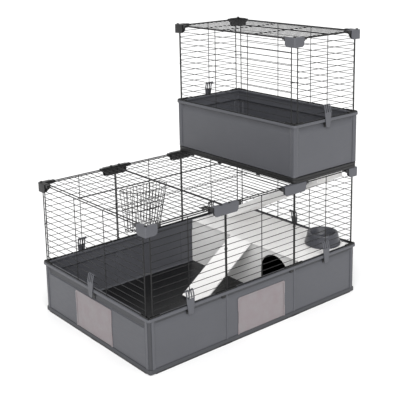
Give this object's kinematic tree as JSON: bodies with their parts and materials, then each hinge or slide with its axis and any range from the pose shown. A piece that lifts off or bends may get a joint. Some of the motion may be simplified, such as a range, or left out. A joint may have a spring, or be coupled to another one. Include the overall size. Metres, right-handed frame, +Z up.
{
  "type": "wire rabbit cage",
  "caption": "Two-storey modular cage for rabbits: plastic trays with welded wire grilles, a den under a platform, ramps, hay rack and feed bowl.",
  "frame": {"origin": "on the ground under the middle of the lower cage", "axes": "+Z up, +X along the long side towards the end that carries the upper cage, +Y from the front to the back"},
  "size_m": [1.0846, 0.7296, 1.1068],
  "materials": {
    "grey_plastic": "satin moulded grey plastic",
    "black_plastic": "satin moulded black plastic",
    "white_plastic": "satin moulded white plastic",
    "bowl_plastic": "smooth dark grey plastic",
    "frosted_window": "translucent frosted plastic",
    "black_wire": "black coated steel wire"
  },
  "bodies": {
    "cage": {"corner_back_left": "black_plastic", "corner_back_right": "black_plastic", "corner_front_left": "grey_plastic", "corner_front_right": "grey_plastic", "den_wall": "white_plastic", "floor_left": "black_plastic", "floor_middle": "black_plastic", "floor_right": "black_plastic", "grille_back_left": "black_wire", "grille_back_middle": "black_wire", "grille_back_right": "black_wire", "grille_end_left": "black_wire", "grille_end_right": "black_wire", "grille_front_left": "black_wire", "grille_front_middle": "black_wire", "grille_front_right": "black_wire", "platform": "white_plastic", "tee_back_left": "black_plastic", "tee_back_right": "black_plastic", "tee_front_left": "grey_plastic", "tee_front_right": "grey_plastic", "upper_base_frame": "black_plastic", "upper_corner_back_left": "black_plastic", "upper_corner_back_right": "black_plastic", "upper_corner_front_left": "grey_plastic", "upper_corner_front_right": "grey_plastic", "upper_floor": "black_plastic", "upper_grille_back": "black_wire", "upper_grille_front": "black_wire", "upper_grille_left": "black_wire", "upper_grille_right": "black_wire", "upper_wall_back": "grey_plastic", "upper_wall_front": "grey_plastic", "upper_wall_left": "grey_plastic", "upper_wall_right": "grey_plastic", "wall_back_left": "grey_plastic", "wall_back_middle": "grey_plastic", "wall_back_right": "grey_plastic", "wall_end_left": "grey_plastic", "wall_end_right": "grey_plastic", "wall_front_left": "grey_plastic", "wall_front_middle": "grey_plastic", "wall_front_right": "grey_plastic", "window_end": "frosted_window", "window_front": "frosted_window"},
    "bowl": {"bowl": "bowl_plastic"},
    "hay_rack": {"hay_rack": "black_wire"},
    "latch_back_left": {"latch_back_left": "grey_plastic"},
    "latch_back_right": {"latch_back_right": "grey_plastic"},
    "latch_end_left": {"latch_end_left": "grey_plastic"},
    "latch_end_right": {"latch_end_right": "grey_plastic"},
    "latch_front_left": {"latch_front_left": "grey_plastic"},
    "latch_front_right": {"latch_front_right": "grey_plastic"},
    "latch_upper_back": {"latch_upper_back": "grey_plastic"},
    "latch_upper_front": {"latch_upper_front": "grey_plastic"},
    "ramp_lower": {"ramp_lower": "white_plastic"},
    "ramp_upper": {"ramp_upper": "white_plastic"},
    "roof_left": {"roof_left": "black_wire"},
    "roof_middle": {"roof_middle": "black_wire"},
    "roof_upper": {"roof_upper": "black_wire"}
  },
  "joints": [
    {"name": "roof_left_hinge", "type": "hinge", "parent": "cage", "child": "roof_left", "pos_m": [-0.34613, 0.3358, 0.537], "axis": [-1, 0, 0], "range_deg": [0, 100]},
    {"name": "roof_middle_hinge", "type": "hinge", "parent": "cage", "child": "roof_middle", "pos_m": [-0.00552, 0.3358, 0.537], "axis": [-1, 0, 0], "range_deg": [0, 100]},
    {"name": "roof_upper_hinge", "type": "hinge", "parent": "cage", "child": "roof_upper", "pos_m": [0.5133, 0, 1.1003], "axis": [0, 1, 0], "range_deg": [0, 100]},
    {"name": "latch_front_left_pivot", "type": "hinge", "parent": "cage", "child": "latch_front_left", "pos_m": [-0.3525, -0.352, 0.262], "axis": [-1, 0, 0], "range_deg": [0, 110]},
    {"name": "latch_front_right_pivot", "type": "hinge", "parent": "cage", "child": "latch_front_right", "pos_m": [0.3525, -0.352, 0.262], "axis": [-1, 0, 0], "range_deg": [0, 110]},
    {"name": "latch_back_left_pivot", "type": "hinge", "parent": "cage", "child": "latch_back_left", "pos_m": [-0.3525, 0.352, 0.262], "axis": [1, 0, 0], "range_deg": [0, 110]},
    {"name": "latch_back_right_pivot", "type": "hinge", "parent": "cage", "child": "latch_back_right", "pos_m": [0.3525, 0.352, 0.262], "axis": [1, 0, 0], "range_deg": [0, 110]},
    {"name": "latch_end_left_pivot", "type": "hinge", "parent": "cage", "child": "latch_end_left", "pos_m": [-0.5295, 0, 0.262], "axis": [0, 1, 0], "range_deg": [0, 110]},
    {"name": "latch_end_right_pivot", "type": "hinge", "parent": "cage", "child": "latch_end_right", "pos_m": [0.5295, 0, 0.262], "axis": [0, -1, 0], "range_deg": [0, 110]},
    {"name": "latch_upper_front_pivot", "type": "hinge", "parent": "cage", "child": "latch_upper_front", "pos_m": [0.35175, -0.352, 0.8253], "axis": [-1, 0, 0], "range_deg": [0, 110]},
    {"name": "latch_upper_back_pivot", "type": "hinge", "parent": "cage", "child": "latch_upper_back", "pos_m": [0.35175, 0.352, 0.8253], "axis": [1, 0, 0], "range_deg": [0, 110]},
    {"name": "ramp_lower_hinge", "type": "hinge", "parent": "cage", "child": "ramp_lower", "pos_m": [0.22, 0.002, 0.209], "axis": [0, 1, 0], "range_deg": [0, 45]},
    {"name": "ramp_upper_hinge", "type": "hinge", "parent": "cage", "child": "ramp_upper", "pos_m": [0.4075, -0.312, 0.5405], "axis": [1, 0, 0], "range_deg": [0, 27]},
    {"name": "hay_rack_lift", "type": "slide", "parent": "cage", "child": "hay_rack", "axis": [0, 0, 1], "range_m": [0, 0.06]},
    {"name": "bowl_lift", "type": "slide", "parent": "cage", "child": "bowl", "axis": [0, 0, 1], "range_m": [0, 0.12]}
  ]
}
